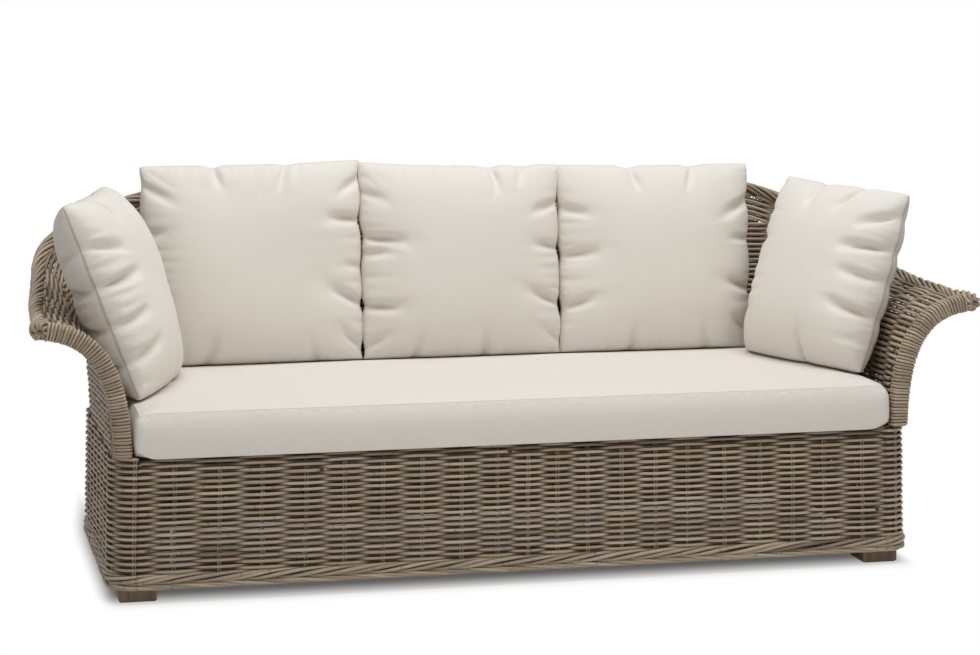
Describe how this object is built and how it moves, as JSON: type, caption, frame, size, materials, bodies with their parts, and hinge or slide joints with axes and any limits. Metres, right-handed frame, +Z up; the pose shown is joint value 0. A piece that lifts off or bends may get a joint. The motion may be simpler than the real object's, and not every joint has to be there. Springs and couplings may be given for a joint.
{
  "type": "rattan garden sofa",
  "caption": "Long rattan garden sofa with a woven base, arms and back that flare out to a braided rim, and loose seat, back and arm cushions.",
  "frame": {"origin": "bottom centre of the bounding box, on the ground under the middle of the sofa", "axes": "+Z up; the seat faces -Y; +X runs along the sofa, to the right for someone who looks along +Y at its front"},
  "size_m": [2.248, 0.883, 0.9385],
  "materials": {
    "rattan_weave": "grey-brown natural rattan, matt, with lighter and darker strands",
    "rattan_braid": "grey-brown natural rattan rods, slight sheen",
    "rattan_wrap": "grey-brown cane wound edge to edge, slight sheen",
    "rattan_pole": "peeled rattan pole, satin",
    "foot_wood": "dark stained wood, satin",
    "frame_timber": "plain brown timber, matt",
    "bolt_steel": "zinc plated",
    "cushion_cloth": "off-white plain woven outdoor cloth"
  },
  "bodies": {
    "frame": {"foot_front_left": "foot_wood", "foot_front_right": "foot_wood", "foot_rear_left": "foot_wood", "foot_rear_right": "foot_wood", "foot_bolt_front_left": "bolt_steel", "foot_bolt_front_right": "bolt_steel", "foot_bolt_rear_left": "bolt_steel", "foot_bolt_rear_right": "bolt_steel", "corner_post_front_left": "frame_timber", "corner_post_front_right": "frame_timber", "corner_post_rear_left": "frame_timber", "corner_post_rear_right": "frame_timber", "bottom_rail_front": "frame_timber", "bottom_rail_rear": "frame_timber", "bottom_rail_left": "frame_timber", "bottom_rail_right": "frame_timber", "seat_rail_front": "frame_timber", "seat_rail_rear": "frame_timber", "seat_rail_left": "frame_timber", "seat_rail_right": "frame_timber", "centre_beam": "frame_timber", "seat_slat_1": "frame_timber", "seat_slat_2": "frame_timber", "seat_slat_3": "frame_timber", "seat_slat_4": "frame_timber", "seat_slat_5": "frame_timber", "seat_slat_6": "frame_timber", "seat_slat_7": "frame_timber", "seat_slat_8": "frame_timber", "seat_slat_9": "frame_timber", "front_apron_weave": "rattan_weave", "rear_weave": "rattan_weave", "side_weave_left": "rattan_weave", "side_weave_right": "rattan_weave", "arm_weave_left": "rattan_weave", "arm_weave_right": "rattan_weave", "back_weave": "rattan_weave", "base_border_front": "rattan_braid", "base_border_rear": "rattan_braid", "base_border_left": "rattan_braid", "base_border_right": "rattan_braid", "rim_braid_left": "rattan_braid", "rim_braid_back": "rattan_braid", "rim_braid_right": "rattan_braid", "arm_pole_left": "rattan_wrap", "arm_pole_right": "rattan_wrap", "corner_pole_left": "rattan_pole", "corner_pole_right": "rattan_pole", "back_pole_left": "rattan_pole", "back_pole_right": "rattan_pole"},
    "seat_cushion": {"seat_cushion": "cushion_cloth"},
    "back_cushion_left": {"back_cushion_left": "cushion_cloth"},
    "back_cushion_centre": {"back_cushion_centre": "cushion_cloth"},
    "back_cushion_right": {"back_cushion_right": "cushion_cloth"},
    "arm_pillow_left": {"arm_pillow_left": "cushion_cloth"},
    "arm_pillow_right": {"arm_pillow_right": "cushion_cloth"}
  },
  "joints": [
    {"name": "seat_cushion_lift", "type": "slide", "parent": "frame", "child": "seat_cushion", "axis": [0, 0, 1], "range_m": [0, 0.35]},
    {"name": "back_cushion_left_lift", "type": "slide", "parent": "seat_cushion", "child": "back_cushion_left", "axis": [0, 0, 1], "range_m": [0, 0.5]},
    {"name": "back_cushion_centre_lift", "type": "slide", "parent": "seat_cushion", "child": "back_cushion_centre", "axis": [0, 0, 1], "range_m": [0, 0.5]},
    {"name": "back_cushion_right_lift", "type": "slide", "parent": "seat_cushion", "child": "back_cushion_right", "axis": [0, 0, 1], "range_m": [0, 0.5]},
    {"name": "arm_pillow_left_lift", "type": "slide", "parent": "seat_cushion", "child": "arm_pillow_left", "axis": [0, 0, 1], "range_m": [0, 0.5]},
    {"name": "arm_pillow_right_lift", "type": "slide", "parent": "seat_cushion", "child": "arm_pillow_right", "axis": [0, 0, 1], "range_m": [0, 0.5]}
  ]
}
